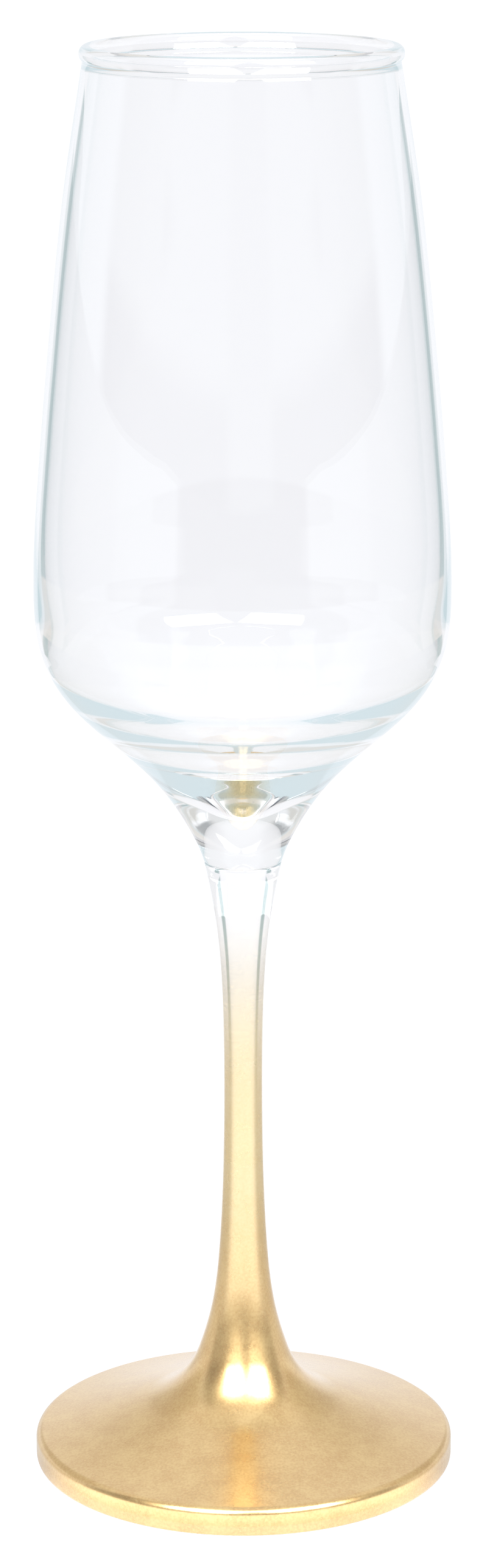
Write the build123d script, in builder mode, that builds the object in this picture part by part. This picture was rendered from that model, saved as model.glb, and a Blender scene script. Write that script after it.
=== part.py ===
from build123d import *
from math import cos, radians, sin
import os

os.makedirs("parts", exist_ok=True)

# Champagne flute with a satin gold stem and foot, standing on its foot.
# Millimetres, +Z up, origin at the centre of the ring that it rests on.
# Every outline is drawn with x as the radius and y as the height, then turned about Z.

# Heights along the axis
total_height = 225.0
weld_height = 99.1          # where the blown bowl is fused to the stem
seam_height = 18.3          # where the stem is fused to the foot, under the gold

# Bowl, outside
weld_radius = 6.15
weld_round = 0.12
funnel_radius = 13.0
funnel_height = 111.5
shoulder_radius = 28.5
shoulder_height = 127.3
belly_radius = 32.05
belly_height = 141.8
middle_radius = 31.15
middle_height = 159.9
upper_radius = 28.6
upper_height = 187.5
neck_radius = 26.45
neck_height = 205.7
mouth_radius = 23.8
bead_width = 2.24           # the fire-polished edge of the mouth is a bead, proud on both sides
bead_tall = 2.56
bead_overhang = 0.5         # how far the bead stands proud of the outer wall

# Bowl, inside
mouth_wall = 1.3
upper_wall = 1.45
belly_wall = 1.8
ledge_radius = 24.2         # the wall turns in here, then falls as a cone
ledge_height = 124.7
cone_radius = 13.5
cone_height = 116.5
well_height = 109.0         # lowest point of the drink, on the axis

# Stem
stem_top_radius = 6.0       # a little slimmer than the bowl's base, so the weld shows as a fine step
waist_radius = 2.95
waist_height = 62.7
seam_radius = 7.0

# Foot
foot_radius = 33.3
rim_upper_round = 1.25      # the rim's side is upright, rounded over at the top and under at the bottom
rim_lower_round = 0.9
crown_height = 4.67         # where the upper rounding runs into the foot's top
crown_slope = 13.0          # degrees, the fall of the foot's top there
flare_end = (15.9, 9.4)     # where the steep flare turns into the gentle top
ring_inner_radius = 27.0    # the foot rests on a ring, and its underside is hollow inside that
underside_rise = 1.3

# Gold film
film_thickness = 0.1
film_start = 0.03           # the gold fades out just under the weld, this far down the stem's side
film_end_angle = 40.0       # and ends this far under the foot's rim, short of the resting ring
stem_skin_points = 17
arc_skin_points = 3


# Sides of the foot and stem in bare glass, each running smoothly into the next
upper_centre = (foot_radius - rim_upper_round, crown_height - rim_upper_round * cos(radians(crown_slope)))
lower_centre = (foot_radius - rim_lower_round, rim_lower_round)
crown = (upper_centre[0] + rim_upper_round * sin(radians(crown_slope)), crown_height)
inward = (-cos(radians(crown_slope)), sin(radians(crown_slope)))

with BuildLine() as glass_side:
    top_side = TangentArc(crown, flare_end, tangent=inward)
    flare_side = TangentArc(flare_end, (seam_radius, seam_height), tangent=top_side % 1)
    stem_side = Spline(
        (seam_radius, seam_height),
        (5.25, 24.2),
        (3.7, 36.0),
        (3.05, 51.8),
        (waist_radius, waist_height),
        (3.15, 75.5),
        (4.0, 87.5),
        (stem_top_radius, weld_height),
        tangents=[flare_side % 1, (0.22, 1.0)],
    )


# Bowl: the blown wall, its thick base down to the weld, and the bead round the mouth
bead_height = total_height - bead_tall / 2

with BuildPart() as bowl:
    with BuildSketch(Plane.XZ):
        with BuildLine():
            outer = Spline(
                (weld_radius, weld_height),
                (7.8, 103.4),
                (funnel_radius, funnel_height),
                (20.85, 119.3),
                (shoulder_radius, shoulder_height),
                (31.4, 134.3),
                (belly_radius, belly_height),
                (middle_radius, middle_height),
                (upper_radius, upper_height),
                (neck_radius, neck_height),
                (mouth_radius, bead_height),
            )
            inner = Spline(
                (mouth_radius - mouth_wall, bead_height),
                (neck_radius - upper_wall, neck_height),
                (upper_radius - upper_wall, upper_height),
                (middle_radius - upper_wall, middle_height),
                (belly_radius - belly_wall, belly_height),
                (29.55, 134.4),
                (28.5, 129.75),
                (26.6, 127.4),
                (ledge_radius, ledge_height),
                (21.0, 122.25),
                (17.5, 118.7),
                (cone_radius, cone_height),
                (9.0, 114.0),
                (4.5, 111.45),
                (0.0, well_height),
                tangents=[(0.15, -1.0), (-1.0, 0.0)],
            )
            Line(outer @ 1, inner @ 0)
            Polyline(inner @ 1, (0.0, weld_height), outer @ 0)
        make_face()
        with Locations((mouth_radius + bead_overhang - bead_width / 2, bead_height)):
            Ellipse(bead_width / 2, bead_tall / 2)
    revolve(axis=Axis.Z)
    fillet(bowl.edges().group_by(Axis.Z)[0], weld_round)
bowl.part.label = "bowl"
export_step(bowl.part, "parts/bowl.step")


with BuildPart() as stem:
    with BuildSketch(Plane.XZ):
        with BuildLine():
            add(stem_side)
            Polyline(stem_side @ 1, (0.0, weld_height), (0.0, seam_height), stem_side @ 0)
        make_face()
    revolve(axis=Axis.Z)
    fillet(stem.edges().group_by(Axis.Z)[-1], weld_round)
stem.part.label = "stem"
export_step(stem.part, "parts/stem.step")


with BuildPart() as foot:
    with BuildSketch(Plane.XZ):
        with BuildLine():
            add([flare_side, top_side])
            over = CenterArc(upper_centre, rim_upper_round, 0, 90 - crown_slope)
            under = CenterArc(lower_centre, rim_lower_round, -90, 90)
            Line(over @ 0, under @ 1)
            Line(under @ 0, (ring_inner_radius, 0.0))
            hollow = TangentArc((0.0, underside_rise), (ring_inner_radius, 0.0), tangent=(1.0, 0.0))
            Polyline(hollow @ 0, (0.0, seam_height), flare_side @ 1)
        make_face()
    revolve(axis=Axis.Z)
foot.part.label = "foot"
export_step(foot.part, "parts/foot.step")


# The film covers the stem and the top and rim of the foot in one piece
def skin(glass_line, count, start=0.0, end=1.0):
    """Points evenly along a line of the glass, moved out by the film's thickness."""
    stations = [start + (end - start) * n / (count - 1) for n in range(count)]
    return [glass_line @ u + (glass_line % u).rotate(Axis.Z, -90) * film_thickness for u in stations]


film_end = 1.0 - film_start

with BuildPart() as gold_film:
    with BuildSketch(Plane.XZ):
        with BuildLine():
            glass_under = CenterArc(lower_centre, rim_lower_round, -film_end_angle, film_end_angle)
            glass_over = CenterArc(upper_centre, rim_upper_round, 0, 90 - crown_slope)
            glass_rim = Line(glass_under @ 1, glass_over @ 0)
            add([top_side, flare_side, stem_side.trim(0.0, film_end)])
            under_skin = ThreePointArc(*skin(glass_under, arc_skin_points))
            Line(skin(glass_rim, 2))
            ThreePointArc(*skin(glass_over, arc_skin_points))
            ThreePointArc(*skin(top_side, arc_skin_points))
            ThreePointArc(*skin(flare_side, arc_skin_points))
            stem_points = skin(stem_side, stem_skin_points, end=film_end)
            Spline(stem_points, tangents=[stem_side % 0, stem_side % film_end])
            Line(stem_points[-1], stem_side @ film_end)
            Line(glass_under @ 0, under_skin @ 0)
        make_face()
    revolve(axis=Axis.Z)
gold_film.part.label = "gold_film"
export_step(gold_film.part, "parts/gold_film.step")
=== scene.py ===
import math

import bmesh
import bpy
import numpy as np
from mathutils import Matrix, Vector


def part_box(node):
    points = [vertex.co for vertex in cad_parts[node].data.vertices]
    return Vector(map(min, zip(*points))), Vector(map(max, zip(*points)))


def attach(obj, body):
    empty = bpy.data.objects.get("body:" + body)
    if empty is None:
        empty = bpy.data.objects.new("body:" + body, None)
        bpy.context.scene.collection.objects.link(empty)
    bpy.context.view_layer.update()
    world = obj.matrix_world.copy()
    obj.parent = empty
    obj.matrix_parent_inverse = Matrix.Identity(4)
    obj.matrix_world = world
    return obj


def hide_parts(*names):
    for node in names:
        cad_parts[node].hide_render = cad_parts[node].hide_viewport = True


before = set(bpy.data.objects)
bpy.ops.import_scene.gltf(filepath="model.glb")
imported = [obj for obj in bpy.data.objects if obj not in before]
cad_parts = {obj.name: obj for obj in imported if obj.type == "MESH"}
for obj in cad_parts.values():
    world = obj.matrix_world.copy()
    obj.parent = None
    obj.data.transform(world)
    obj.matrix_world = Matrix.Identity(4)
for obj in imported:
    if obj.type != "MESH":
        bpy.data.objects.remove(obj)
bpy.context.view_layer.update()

print("frame loaded")

# Places that the pieces share, read from the frame
mm = 0.001
bowlLow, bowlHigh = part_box("bowl")
stemLow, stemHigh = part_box("stem")
weldZ = bowlLow.z
mouthZ = bowlHigh.z
seamZ = stemLow.z
seamRadius = stemHigh.x
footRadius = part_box("foot")[1].x
turns = 160                      # faces round each turned piece
flatEnough = 1e-6                # heights this close are one level


# Outlines: x is the distance from the axis, z the height

# a smooth line of count points through the given ones, with its lean fixed at both ends
def smoothLine(points, startLean, endLean, count):
    p = np.array(points, float)
    gaps = np.linalg.norm(np.diff(p, axis=0), axis=1)
    t = np.concatenate([[0.0], np.cumsum(gaps)])
    n = len(p)
    matrix, right = np.zeros((n, n)), np.zeros((n, 2))
    matrix[0, 0] = matrix[-1, -1] = 1.0
    right[0] = np.array(startLean) / np.linalg.norm(startLean)
    right[-1] = np.array(endLean) / np.linalg.norm(endLean)
    for i in range(1, n - 1):
        before, after = gaps[i - 1], gaps[i]
        matrix[i, i - 1:i + 2] = after, 2 * (before + after), before
        right[i] = 3 * (after * (p[i] - p[i - 1]) / before + before * (p[i + 1] - p[i]) / after)
    slopes = np.linalg.solve(matrix, right)
    line = []
    for s in np.linspace(0.0, t[-1], count):
        i = min(max(int(np.searchsorted(t, s)) - 1, 0), n - 2)
        h = gaps[i]
        u = (s - t[i]) / h
        line.append(
            (2 * u**3 - 3 * u**2 + 1) * p[i] + (u**3 - 2 * u**2 + u) * h * slopes[i]
            + (3 * u**2 - 2 * u**3) * p[i + 1] + (u**3 - u**2) * h * slopes[i + 1]
        )
    return [tuple(q) for q in line]


# part of an ellipse from one angle to another, in degrees
def roundLine(centre, width, height, startAngle, endAngle, count):
    angles = [math.radians(a) for a in np.linspace(startAngle, endAngle, count)]
    return [(centre[0] + width * math.cos(a), centre[1] + height * math.sin(a)) for a in angles]


# a circular arc that leaves start along lean, in degrees from +x, with its lean at the end
def tangentArc(start, lean, end, count):
    chord = math.hypot(end[0] - start[0], end[1] - start[1])
    chordAngle = math.atan2(end[1] - start[1], end[0] - start[0])
    half = (chordAngle - math.radians(lean) + math.pi) % math.tau - math.pi
    line = []
    for u in np.linspace(0.0, 1.0, count):
        reach = chord * (math.sin(half * u) / math.sin(half))
        angle = math.radians(lean) + half * u
        line.append((start[0] + reach * math.cos(angle), start[1] + reach * math.sin(angle)))
    return line, math.degrees(chordAngle + half)


# spins an outline about the axis; faces that lie flat at a fused level get the second material
def turnPiece(name, outline, fusedLevels=()):
    mesh = bmesh.new()
    corners = [mesh.verts.new((x, 0.0, z)) for x, z in outline]
    edges = [mesh.edges.new(pair) for pair in zip(corners, corners[1:])]
    bmesh.ops.spin(
        mesh, geom=corners + edges, axis=(0, 0, 1), cent=(0, 0, 0),
        angle=math.tau, steps=turns, use_merge=True,
    )
    bmesh.ops.remove_doubles(mesh, verts=mesh.verts, dist=1e-7)
    bmesh.ops.recalc_face_normals(mesh, faces=mesh.faces)
    for face in mesh.faces:
        face.smooth = True
        for level in fusedLevels:
            if all(abs(corner.co.z - level) <= flatEnough for corner in face.verts):
                face.material_index = 1
    data = bpy.data.meshes.new(name)
    mesh.to_mesh(data)
    mesh.free()
    piece = bpy.data.objects.new(name, data)
    bpy.context.scene.collection.objects.link(piece)
    return piece


# Shader maths

# a shader socket that ordinary arithmetic works on
class Wire:
    def __init__(self, finish, socket):
        self.finish, self.socket = finish, socket

    def __add__(self, other):
        return self.finish.maths("ADD", self, other)

    def __radd__(self, other):
        return self.finish.maths("ADD", other, self)

    def __sub__(self, other):
        return self.finish.maths("SUBTRACT", self, other)

    def __rsub__(self, other):
        return self.finish.maths("SUBTRACT", other, self)

    def __mul__(self, other):
        return self.finish.maths("MULTIPLY", self, other)

    def __rmul__(self, other):
        return self.finish.maths("MULTIPLY", other, self)


# the shader nodes of one material, or of the surroundings
class Finish:
    def __init__(self, owner):
        owner.use_nodes = True
        self.owner, self.tree = owner, owner.node_tree
        self.tree.nodes.clear()

    def node(self, kind, settings=None, inputs=None, output=0):
        made = self.tree.nodes.new(kind)
        for key, value in (settings or {}).items():
            setattr(made, key, value)
        for key, value in (inputs or {}).items():
            if isinstance(value, Wire):
                self.tree.links.new(value.socket, made.inputs[key])
            else:
                made.inputs[key].default_value = value
        return Wire(self, made.outputs[output])

    def maths(self, operation, first, second):
        return self.node("ShaderNodeMath", {"operation": operation}, {0: first, 1: second})

    # 0 where value is low, 1 where it is high, and smooth in between
    def range(self, value, low, high):
        return self.node("ShaderNodeMapRange", {"interpolation_type": "SMOOTHSTEP"}, {
            "Value": value, "From Min": low, "From Max": high,
        })

    def noise(self, place, scale, detail, roughness=0.5):
        return self.node("ShaderNodeTexNoise", None, {
            "Vector": place, "Scale": scale, "Detail": detail, "Roughness": roughness,
        }, "Fac")

    def lightPath(self, output):
        return self.node("ShaderNodeLightPath", None, None, output)

    def blend(self, factor, first, second):
        return self.node("ShaderNodeMix", {"data_type": "RGBA"}, {"Factor": factor, 6: first, 7: second}, 2)

    def surface(self, shader, kind="ShaderNodeOutputMaterial"):
        end = self.tree.nodes.new(kind)
        self.tree.links.new(shader.socket, end.inputs["Surface"])
        return self.owner


    # the colour that the camera sees straight on, where another lights the glass
    def seenAs(self, seen, colour):
        return self.blend(self.lightPath("Is Camera Ray"), colour, seen)

    # 0 for light that comes straight through the glass, 1 once something has mirrored it
    def mirrored(self):
        return self.range(self.lightPath("Glossy Depth"), 0.2, 0.8)


def newFinish(name):
    return Finish(bpy.data.materials.new(name))


# Bowl: heights are millimetres above the weld
bowl = {
    "weldRadius": 6.15,
    "seatRadius": 5.9,           # the fused face between bowl and stem
    "grooveTall": 0.25,          # the fine groove round the weld
    "baseLean": (0.25, 1.0),     # how the outside starts, and how it meets the bead
    "mouthLean": (-0.15, 1.0),
    "outside": [(7.8, 4.3), (13.0, 12.4), (20.85, 20.2), (28.5, 28.2), (31.4, 35.2), (32.05, 42.7),
                (31.15, 60.8), (28.6, 88.4), (26.45, 106.6)],
    "mouthRadius": 23.8,
    "mouthWall": 1.3,
    "inside": [(25.0, 106.6), (27.15, 88.4), (29.7, 60.8), (30.25, 42.7), (29.55, 35.3), (28.5, 30.65),
               (26.6, 28.3), (24.2, 25.6), (21.0, 23.15), (17.5, 19.6), (13.5, 17.4), (9.0, 14.9),
               (4.5, 12.35)],
    "wellHeight": 9.9,           # lowest point of the inside, on the axis
    "beadWidth": 2.24,
    "beadTall": 2.56,
    "beadOverhang": 0.5,
    "beadPoints": 40,
    "outsidePoints": 110,
    "insidePoints": 150,
}


def bowlPiece():
    b = bowl
    halfWide, halfTall = b["beadWidth"] / 2 * mm, b["beadTall"] / 2 * mm
    beadRadius = (b["mouthRadius"] + b["beadOverhang"]) * mm - halfWide
    beadZ = mouthZ - halfTall
    wallOut, wallIn = b["mouthRadius"] * mm, (b["mouthRadius"] - b["mouthWall"]) * mm
    meetOut = math.degrees(math.acos((wallOut - beadRadius) / halfWide))
    meetIn = math.degrees(math.acos((wallIn - beadRadius) / halfWide))
    lift = lambda points: [(x * mm, weldZ + z * mm) for x, z in points]
    beadLine = roundLine((beadRadius, beadZ), halfWide, halfTall, -meetOut, 360 - meetIn, b["beadPoints"])
    outside = smoothLine(
        [(b["weldRadius"] * mm, weldZ + b["grooveTall"] * mm)] + lift(b["outside"]) + [beadLine[0]],
        b["baseLean"], b["mouthLean"], b["outsidePoints"],
    )
    inside = smoothLine(
        [beadLine[-1]] + lift(b["inside"]) + [(0.0, weldZ + b["wellHeight"] * mm)],
        [-way for way in b["mouthLean"]], (-1.0, 0.0), b["insidePoints"],
    )
    seat = [(0.0, weldZ), (b["seatRadius"] * mm, weldZ)]
    outline = seat + outside + beadLine[1:-1] + inside
    return turnPiece("bowl_glass", outline, [weldZ])


clearGlass = {
    "tint": (0.996, 0.998, 1.0, 1),
    "innerTint": (0.88, 0.97, 1.0, 1),
    "bend": 1.51,
    "roughness": 0.0,
    "deepTurns": (3.6, 6.0),     # light that has turned this often inside is dropped, and the glass glows there with the painted colour below
    # painted glow: a teal colour the glass gives off where deep light paths end, not a tint of the glass
    "deepGlowColour": (0.66, 0.78, 0.83, 1),
    "rippleScale": 70.0,         # the faint ripple that blown glass has
    "rippleDetail": 1.0,
    "rippleTall": 0.01,
}


def glassFinish(name):
    g = clearGlass
    finish = newFinish(name)
    place = finish.node("ShaderNodeTexCoord", None, None, "Object")
    ripple = finish.noise(place, g["rippleScale"], g["rippleDetail"])
    bump = finish.node("ShaderNodeBump", None, {"Distance": g["rippleTall"] * mm, "Height": ripple})
    shader = finish.node("ShaderNodeBsdfPrincipled", None, {
        "Normal": bump,
        "Base Color": g["tint"],
        "Roughness": g["roughness"],
        "IOR": g["bend"],
        "Transmission Weight": 1.0,
        "Specular Tint": g["innerTint"],
    })
    # painted glow that stands in for light lost deep inside the glass
    paintedGlow = finish.node("ShaderNodeEmission", None, {"Color": g["deepGlowColour"], "Strength": 1.0})
    turned = finish.range(finish.lightPath("Ray Depth"), *g["deepTurns"])
    return finish.surface(finish.node("ShaderNodeMixShader", None, {0: turned, 1: shader, 2: paintedGlow}))


def fusedFinish():
    finish = newFinish("fused_face")
    return finish.surface(finish.node("ShaderNodeBsdfTransparent", None, {"Color": (1, 1, 1, 1)}))


# Stem: heights are millimetres above the seam with the foot
stem = {
    "topRadius": 6.0,
    "seatRadius": 5.9,
    "grooveTall": 0.2,
    "side": [(5.25, 5.9), (3.7, 17.7), (3.05, 33.5), (2.95, 44.4), (3.15, 57.2), (4.0, 69.2)],
    "topLean": (0.22, 1.0),
    "sidePoints": 120,
}


def stemSide(count):
    s = stem
    points = [(seamRadius, seamZ)] + [(x * mm, seamZ + z * mm) for x, z in s["side"]]
    points.append((s["topRadius"] * mm, weldZ - s["grooveTall"] * mm))
    lean = math.radians(footTop(3)[1])
    return smoothLine(points, (math.cos(lean), math.sin(lean)), s["topLean"], count)


def stemPiece():
    top = [(stem["seatRadius"] * mm, weldZ), (0.0, weldZ)]
    outline = [(0.0, seamZ)] + stemSide(stem["sidePoints"]) + top
    return turnPiece("stem_glass", outline, [weldZ, seamZ])


# Foot: heights are millimetres above the surface that it stands on
foot = {
    "upperRound": 1.25,          # the rim's side is upright, rounded over at the top and under at the bottom
    "lowerRound": 0.9,
    "crownHeight": 4.67,
    "crownSlope": 13.0,          # degrees, where the rounding runs into the top
    "flareEnd": (15.9, 9.4),     # where the steep flare turns into the gentle top
    "ringInner": 27.0,           # it rests on a ring, and is hollow inside that
    "underRise": 1.3,
    "rimPoints": 16,
    "sideSteps": 6,
    "topPoints": 60,
    "hollowPoints": 24,
}


# the rim, from an angle under it up to the crown
def footRim(fromAngle, count):
    f = foot
    low, high, crownAngle = f["lowerRound"] * mm, f["upperRound"] * mm, 90 - f["crownSlope"]
    highZ = f["crownHeight"] * mm - high * math.sin(math.radians(crownAngle))
    under = roundLine((footRadius - low, low), low, low, fromAngle, 0, count)
    over = roundLine((footRadius - high, highZ), high, high, 0, crownAngle, count)
    steps = f["sideSteps"]
    side = [(footRadius, low + (highZ - low) * n / steps) for n in range(1, steps)]
    return under + side + over


# from the crown up the flare to the seam, and the lean there
def footTop(count):
    f = foot
    crown = footRim(-90, 12)[-1]
    flareEnd = (f["flareEnd"][0] * mm, f["flareEnd"][1] * mm)
    top, lean = tangentArc(crown, 180 - f["crownSlope"], flareEnd, count)
    flare, lean = tangentArc(flareEnd, lean, (seamRadius, seamZ), count)
    return top[1:] + flare[1:], lean


def footPiece():
    f = foot
    ring = f["ringInner"] * mm
    hollow = tangentArc((0.0, f["underRise"] * mm), 0, (ring, 0.0), f["hollowPoints"])[0]
    outline = hollow + footRim(-90, f["rimPoints"]) + footTop(f["topPoints"])[0] + [(0.0, seamZ)]
    return turnPiece("foot_glass", outline, [seamZ])


# Gold film over the stem and foot
film = {
    "thickness": 0.08,
    "grip": 0.03,                # how far its inner face lies in the glass, so no air shows between
    "endAngle": 40.0,            # how far it wraps under the rim, in degrees
    "startBelowWeld": 2.4,
    "stemPoints": 130,
}


# a line moved to its right by a distance
def shifted(line, by):
    p = np.array(line)
    along = np.gradient(p, axis=0)
    along /= np.linalg.norm(along, axis=1)[:, None]
    return [tuple(q) for q in p + by * np.stack([along[:, 1], -along[:, 0]], axis=1)]


def filmPiece():
    f = film
    side = footRim(-f["endAngle"], foot["rimPoints"]) + footTop(foot["topPoints"])[0]
    side += stemSide(f["stemPoints"])[1:]
    side = [q for q in side if q[1] < weldZ - f["startBelowWeld"] * mm]
    outer = shifted(side, f["thickness"] * mm)
    inner = shifted(side, -f["grip"] * mm)
    return turnPiece("gold_film_coat", outer + inner[::-1] + outer[:1])


gold = {
    "footDark": (0.74, 0.46, 0.17, 1),
    "footLight": (0.90, 0.64, 0.27, 1),
    "stemDark": (0.91, 0.71, 0.37, 1),
    "stemLight": (0.95, 0.78, 0.45, 1),
    "mottleScale": 260.0,        # soft patches, and the fine grain of the spray
    "mottleDetail": 8.0,
    "mottleRoughness": 0.62,
    "grainScale": 2600.0,
    "grainDetail": 2.0,
    "toneRange": (0.3, 0.7),
    "grainStrength": 0.03,
    "grainTall": 0.1,
    "roughness": 0.22,
    "roughnessSpread": 0.12,
    "coatWeight": 1.0,
    "coatBend": 1.8,
    "coatRoughness": 0.2,
    "fadeStart": 5.0,            # millimetres below the weld, where the spray begins
    "fadeEnd": 48.0,             # and where it is full
    "thin": 0.5,                 # how much glass still shows through the film on the stem
    "fullBetween": (50.0, 16.0), # heights over which it thickens down to the foot
    "rimThin": 0.3,              # it is thin again low on the rim
    "rimThinBetween": (3.4, 1.6),
}


def goldFinish():
    g = gold
    finish = newFinish("satin_gold")
    place = finish.node("ShaderNodeTexCoord", None, None, "Object")
    height = finish.node("ShaderNodeSeparateXYZ", None, {0: place}, "Z")
    mottle = finish.noise(place, g["mottleScale"], g["mottleDetail"], g["mottleRoughness"])
    grain = finish.noise(place, g["grainScale"], g["grainDetail"])

    spray = finish.range(height, weldZ - g["fadeStart"] * mm, weldZ - g["fadeEnd"] * mm)
    body = finish.range(height, *(z * mm for z in g["fullBetween"]))
    rim = finish.range(height, *(z * mm for z in g["rimThinBetween"]))
    cover = spray * ((1 - g["thin"]) + g["thin"] * body) * (1 - g["rimThin"] * rim)

    tone = finish.range(0.5 * mottle + 0.5 * grain, *g["toneRange"])
    stemColour = finish.blend(tone, g["stemDark"], g["stemLight"])
    footColour = finish.blend(tone, g["footDark"], g["footLight"])
    bump = finish.node("ShaderNodeBump", None, {
        "Strength": g["grainStrength"], "Distance": g["grainTall"] * mm, "Height": grain,
    })
    return finish.surface(finish.node("ShaderNodeBsdfPrincipled", None, {
        "Base Color": finish.blend(body, stemColour, footColour),
        "Metallic": 1.0,
        "Roughness": g["roughness"] + g["roughnessSpread"] * mottle,
        "Coat Weight": g["coatWeight"],
        "Coat Roughness": g["coatRoughness"],
        "Coat IOR": g["coatBend"],
        "Alpha": cover,
        "Normal": bump,
    }))


# Studio
studio = {
    "cameraPlace": (-0.0002, -0.6492, 0.27828),
    "cameraPitch": 14.414,       # degrees down
    "cameraRoll": -0.085,
    "lens": 99.15,
    "sensorWidth": 36.0,
    "nearest": 0.01,
    "floorSize": 12.0,
    "bounces": 32,               # light turns many times inside thick glass
    "mirrorBounces": 24,
}

# The pale sheet. It glows, and mirrors and glass see zones of painted light and shade on it, which the
# camera doesn't see. Angles are in degrees.
# Behind is counted from the far side of the flute, ahead from the camera's side, and away in metres.
floorSheet = {
    "seen": (1.03, 1.03, 1.06, 1),
    "lit": (0.91, 0.915, 0.945, 1),
    "near": (1.6, 1.6, 1.6, 1),          # a painted pool of bright light just in front of the flute
    "edge": (0.34, 0.44, 0.45, 1),       # painted dark strips along both sides of the lane behind
    "beside": (0.55, 0.55, 0.57, 1),
    "besideNear": (0.70, 0.68, 0.65, 1),
    "underBoxes": (0.68, 0.68, 0.69, 1),
    "shade": (0.04, 0.04, 0.07, 1),      # where the camera stands
    "stripInner": (27, 31),              # behind, where the lane ends and a strip starts
    "stripOuter": (40, 36),
    "underBoxesAhead": (78, 72),
    "shadeAhead": 36,                    # half the width of the shade far away
    "shadeSpread": 22,                   # and how much wider it is close by
    "shadeAway": (1.0, 0.72),
    "shadeEdge": (2, -2),
    "patchAway": (0.56, 0.53),           # the patch round the flute
    "patchBehind": (80, 120),
    "nearAway": (0.36, 0.28),
    "nearBehind": (100, 130),
    "grainScale": 40.0,
    "grainDetail": 2.0,
    "base": (0.04, 0.04, 0.04, 1),
    "roughness": 0.7,
    "roughnessSpread": 0.1,
    "shine": 0.1,
}


def floorFinish():
    f = floorSheet
    finish = newFinish("pale_floor")
    place = finish.node("ShaderNodeTexCoord", None, None, "Object")
    x, y = (finish.node("ShaderNodeSeparateXYZ", None, {0: place}, axis) for axis in "XY")
    behind = finish.maths("ABSOLUTE", finish.maths("ARCTAN2", x, y) * math.degrees(1), 0)
    ahead = 180 - behind
    away = finish.node("ShaderNodeVectorMath", {"operation": "LENGTH"}, {0: place}, "Value")
    pastLane = finish.range(behind, *f["stripInner"])
    beforeOuter = finish.range(behind, *f["stripOuter"])

    # painted light and shade for mirrors and glass: grey zones beside and under the boxes, dark strips,
    # shade where the camera stands and a lit patch round the flute
    colour = finish.blend(beforeOuter, f["beside"], f["edge"])
    colour = finish.blend(finish.range(ahead, *f["underBoxesAhead"]), colour, f["underBoxes"])
    width = f["shadeAhead"] + f["shadeSpread"] * finish.range(away, *f["shadeAway"])
    colour = finish.blend(finish.range(ahead - width, *f["shadeEdge"]), colour, f["shade"])
    patch = finish.blend(finish.range(behind, *f["patchBehind"]), f["besideNear"], f["lit"])
    colour = finish.blend(finish.range(away, *f["patchAway"]), colour, patch)
    colour = finish.blend(pastLane, f["lit"], colour)
    # the painted pool of bright light just in front of the flute
    close = finish.range(away, *f["nearAway"]) * finish.range(behind, *f["nearBehind"])
    colour = finish.blend(close, colour, f["near"])

    # what the glass sees straight through: lit, with the painted dark strips
    through = finish.blend(pastLane * beforeOuter, f["lit"], f["edge"])
    colour = finish.seenAs(f["seen"], finish.blend(finish.mirrored(), through, colour))
    grain = finish.noise(place, f["grainScale"], f["grainDetail"])
    return finish.surface(finish.node("ShaderNodeBsdfPrincipled", None, {
        "Base Color": f["base"],
        "Roughness": f["roughness"] + f["roughnessSpread"] * grain,
        "Emission Color": colour,
        "Emission Strength": 1.0,
        "Specular IOR Level": f["shine"],
    }))


def makeFloor():
    mesh = bmesh.new()
    bmesh.ops.create_grid(mesh, x_segments=1, y_segments=1, size=studio["floorSize"] / 2)
    data = bpy.data.meshes.new("floor")
    mesh.to_mesh(data)
    mesh.free()
    floor = bpy.data.objects.new("floor", data)
    bpy.context.scene.collection.objects.link(floor)
    floor.data.materials.append(floorFinish())


# Two soft boxes. Their angles are as seen from the flute: round from the camera towards +X, and up
softBoxes = {
    "target": (0, 0, 0.12),
    "distance": 2.0,
    "boxes": [
        {"name": "soft_box_left", "round": -23, "up": 37, "width": 1.25, "height": 1.3, "power": 43},
        {"name": "soft_box_right", "round": 35, "up": 37, "width": 1.27, "height": 1.3, "power": 44},
    ],
}


def softBox(box):
    lamp = bpy.data.lights.new(box["name"], "AREA")
    lamp.shape = "RECTANGLE"
    lamp.size, lamp.size_y, lamp.energy = box["width"], box["height"], box["power"]
    around, up = math.radians(box["round"]), math.radians(box["up"])
    way = Vector((math.sin(around) * math.cos(up), -math.cos(around) * math.cos(up), math.sin(up)))
    lampObject = bpy.data.objects.new(box["name"], lamp)
    lampObject.location = Vector(softBoxes["target"]) + way * softBoxes["distance"]
    lampObject.rotation_euler = way.to_track_quat("Z", "Y").to_euler()
    bpy.context.scene.collection.objects.link(lampObject)


# The room as the flute sees it. Angles are in degrees, counted as for the soft boxes
room = {
    "seen": (1.03, 1.03, 1.06, 1),
    "back": (0.93, 0.935, 0.96, 1),
    "overhead": (0.85, 0.85, 0.85, 1),
    "cameraSide": (0.5, 0.5, 0.5, 1),
    "cameraLow": (0.05, 0.05, 0.08, 1),
    "betweenBoxes": (0.34, 0.34, 0.35, 1),
    "sideGaps": (0.66, 0.64, 0.60, 1),
    "lowUp": (0.5, 2.5),
    "boxesUp": (12, 18),
    "nearBeside": (96, 88),              # how far round the camera's side goes
    "gapRound": [(-12, -4), (20, 14)],   # the dark gap between the boxes
    "gapUp": (60, 50),
    "sideBeside": [(98, 106), (168, 156)],
    "sideUp": [(10, 16), (54, 44)],
    "overheadUp": (55, 68),
}


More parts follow.
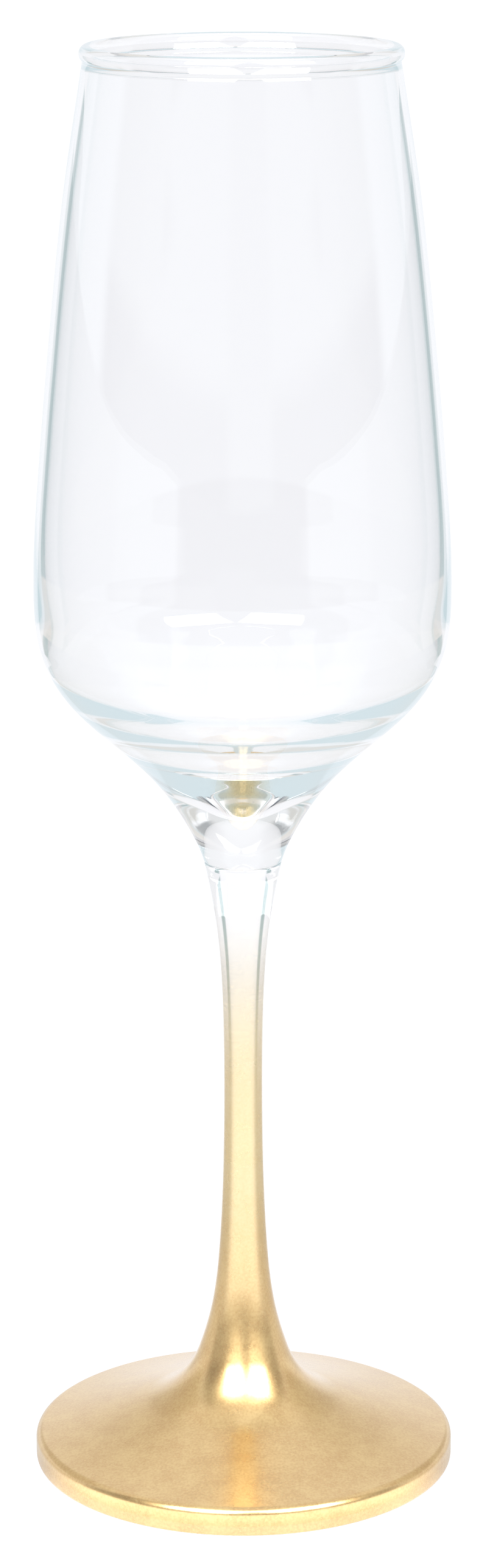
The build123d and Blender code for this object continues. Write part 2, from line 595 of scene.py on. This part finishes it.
def makeRoom():
    w = room
    world = bpy.data.worlds.new("studio")
    bpy.context.scene.world = world
    finish = Finish(world)
    way = finish.node("ShaderNodeTexCoord", None, None, "Generated")
    x, y, z = (finish.node("ShaderNodeSeparateXYZ", None, {0: way}, axis) for axis in "XYZ")
    around = finish.maths("ARCTAN2", x, 0 - y) * math.degrees(1)
    beside = finish.maths("ABSOLUTE", around, 0)
    up = finish.maths("ARCSINE", z, 0) * math.degrees(1)

    # the part of the room between two pairs of limits
    def between(value, limits):
        return finish.range(value, *limits[0]) * finish.range(value, *limits[1])

    near = finish.blend(finish.range(up, *w["lowUp"]), w["cameraLow"], w["cameraSide"])
    near = finish.blend(finish.range(up, *w["boxesUp"]), near, w["betweenBoxes"])
    colour = finish.blend(finish.range(beside, *w["nearBeside"]), w["back"], near)
    gap = between(around, w["gapRound"]) * finish.range(up, *w["gapUp"])
    colour = finish.blend(gap, colour, w["betweenBoxes"])
    sides = between(beside, w["sideBeside"]) * between(up, w["sideUp"])
    colour = finish.blend(sides, colour, w["sideGaps"])
    colour = finish.blend(finish.range(up, *w["overheadUp"]), colour, w["overhead"])
    colour = finish.seenAs(w["seen"], finish.blend(finish.mirrored(), w["back"], colour))
    background = finish.node("ShaderNodeBackground", None, {"Color": colour, "Strength": 1.0})
    finish.surface(background, "ShaderNodeOutputWorld")


def makeCamera():
    camera = bpy.data.cameras.new("camera")
    camera.lens = studio["lens"]
    camera.sensor_width = studio["sensorWidth"]
    camera.clip_start = studio["nearest"]
    pitched = Matrix.Rotation(math.radians(90 - studio["cameraPitch"]), 3, "X")
    rolled = pitched @ Matrix.Rotation(math.radians(studio["cameraRoll"]), 3, "Z")
    cameraObject = bpy.data.objects.new("camera", camera)
    cameraObject.location = studio["cameraPlace"]
    cameraObject.rotation_euler = rolled.to_euler()
    bpy.context.scene.collection.objects.link(cameraObject)
    bpy.context.scene.camera = cameraObject


fusedFace = fusedFinish()
pieces = [
    (bowlPiece(), "bowl", "bowl_glass", [glassFinish("bowl_glass"), fusedFace]),
    (stemPiece(), "stem", "stem_glass", [glassFinish("stem_glass"), fusedFace]),
    (footPiece(), "foot", "foot_glass", [glassFinish("foot_glass"), fusedFace]),
    (filmPiece(), "gold_film", "gold_film", [goldFinish()]),
]
for piece, node, slot, finishes in pieces:
    for finish in finishes:
        piece.data.materials.append(finish)
    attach(piece, "root")
    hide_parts(node)
    print("made", piece.name, len(piece.data.polygons), "faces")

makeFloor()
print("floor ready")
makeRoom()
for box in softBoxes["boxes"]:
    softBox(box)
print("lights ready")
makeCamera()
scene = bpy.context.scene
scene.view_settings.view_transform = "Standard"
scene.cycles.max_bounces = studio["bounces"]
scene.cycles.glossy_bounces = scene.cycles.transmission_bounces = studio["mirrorBounces"]
print("studio ready")
